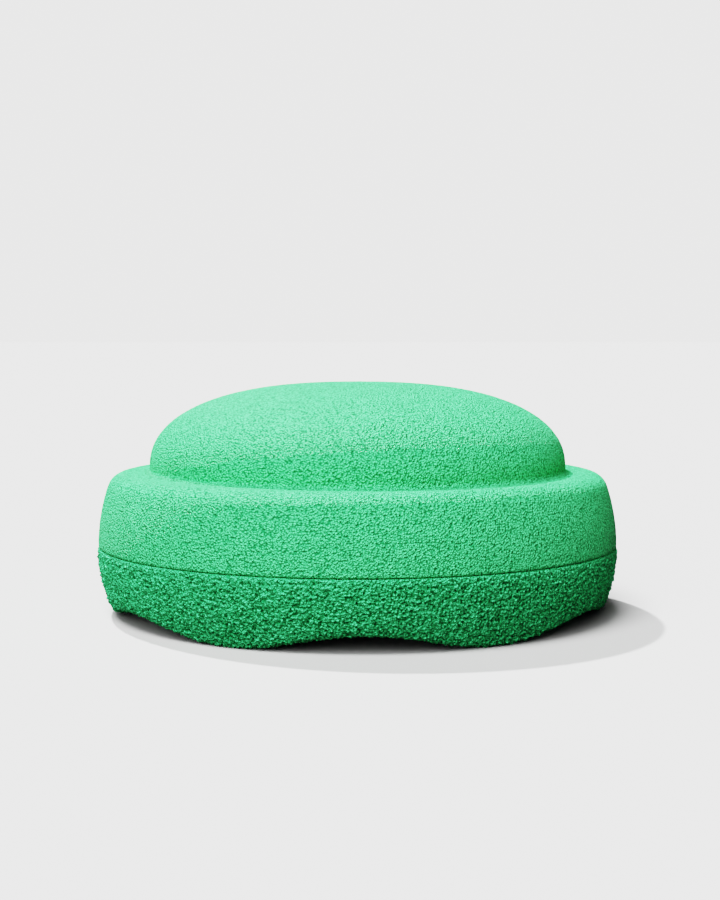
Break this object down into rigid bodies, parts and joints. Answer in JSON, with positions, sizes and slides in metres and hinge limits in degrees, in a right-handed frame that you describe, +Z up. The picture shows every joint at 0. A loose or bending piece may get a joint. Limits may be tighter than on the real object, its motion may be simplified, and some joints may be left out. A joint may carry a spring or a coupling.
{
  "type": "balance pad",
  "caption": "Round bead-foam stepping stone with a smooth dome, a flat shoulder, a coarse grip ring on feet, and a bowl underneath so that pads nest.",
  "frame": {"origin": "centre of the footprint, on the plane that the feet rest on", "axes": "+Z up along the pad's axis of revolution; -Y points through the middle of an arch between two feet"},
  "size_m": [0.275, 0.275, 0.1215],
  "materials": {
    "smooth_foam": "moulded bead foam with a fine leathery grain",
    "grip_foam": "moulded bead foam with a coarse stone-like grip texture"
  },
  "bodies": {
    "root": {"dome_crown": "smooth_foam", "shoulder_ring": "smooth_foam", "grip_ring": "grip_foam"}
  },
  "joints": []
}
